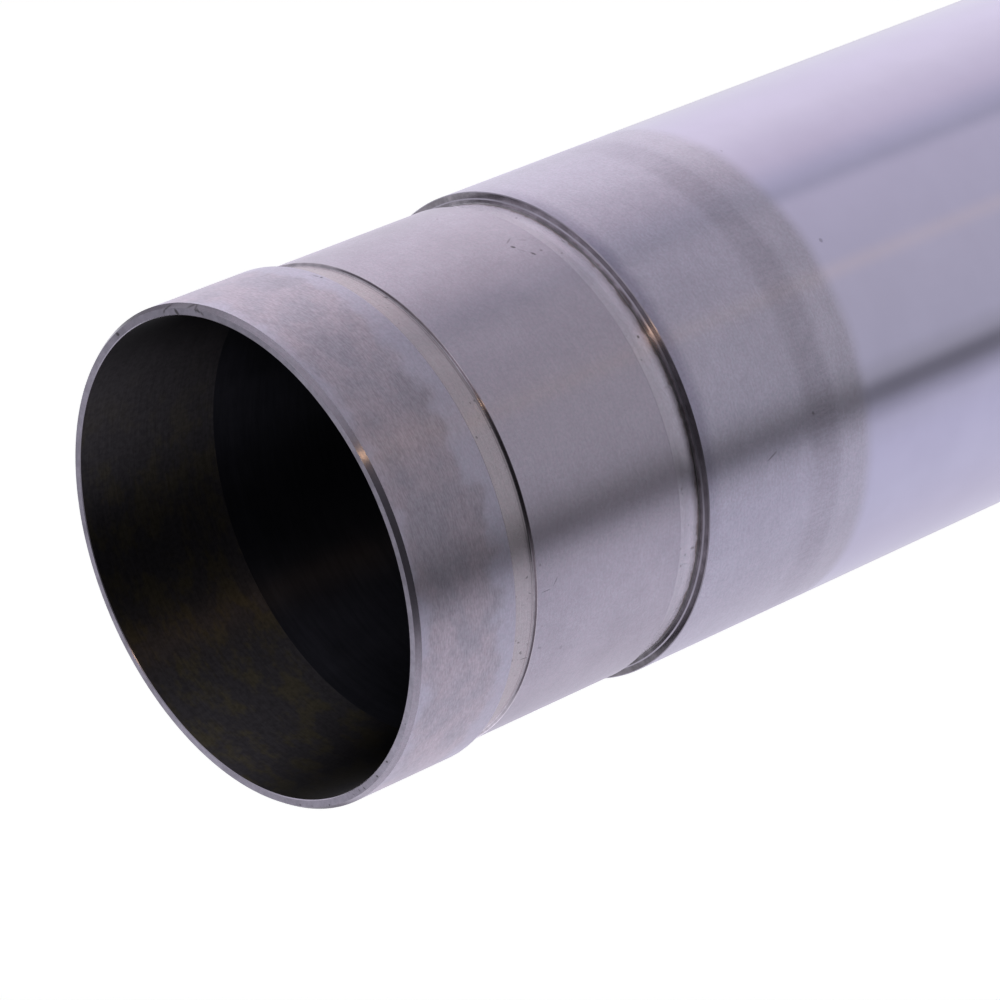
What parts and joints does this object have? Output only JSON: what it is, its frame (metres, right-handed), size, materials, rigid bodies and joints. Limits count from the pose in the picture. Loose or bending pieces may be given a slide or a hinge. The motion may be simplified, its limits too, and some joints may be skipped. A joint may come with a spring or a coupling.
{
  "type": "motorcycle fork tube",
  "caption": "Straight chromed steel inner fork tube with a ground lower end, a recess for a split slide bush between grinding reliefs, and a threaded cap end.",
  "frame": {"origin": "centre of the cap end's flat ring face, which the tube stands on", "axes": "+Z along the tube's axis, from the cap end up to the lower end with the bush recess; X and Y are any two square directions, because the tube is round"},
  "size_m": [0.041, 0.0408, 0.59],
  "materials": {
    "tube_steel": "hard chrome over the shank, bright ground steel at the lower end"
  },
  "bodies": {
    "root": {"fork_tube": "tube_steel"}
  },
  "joints": []
}
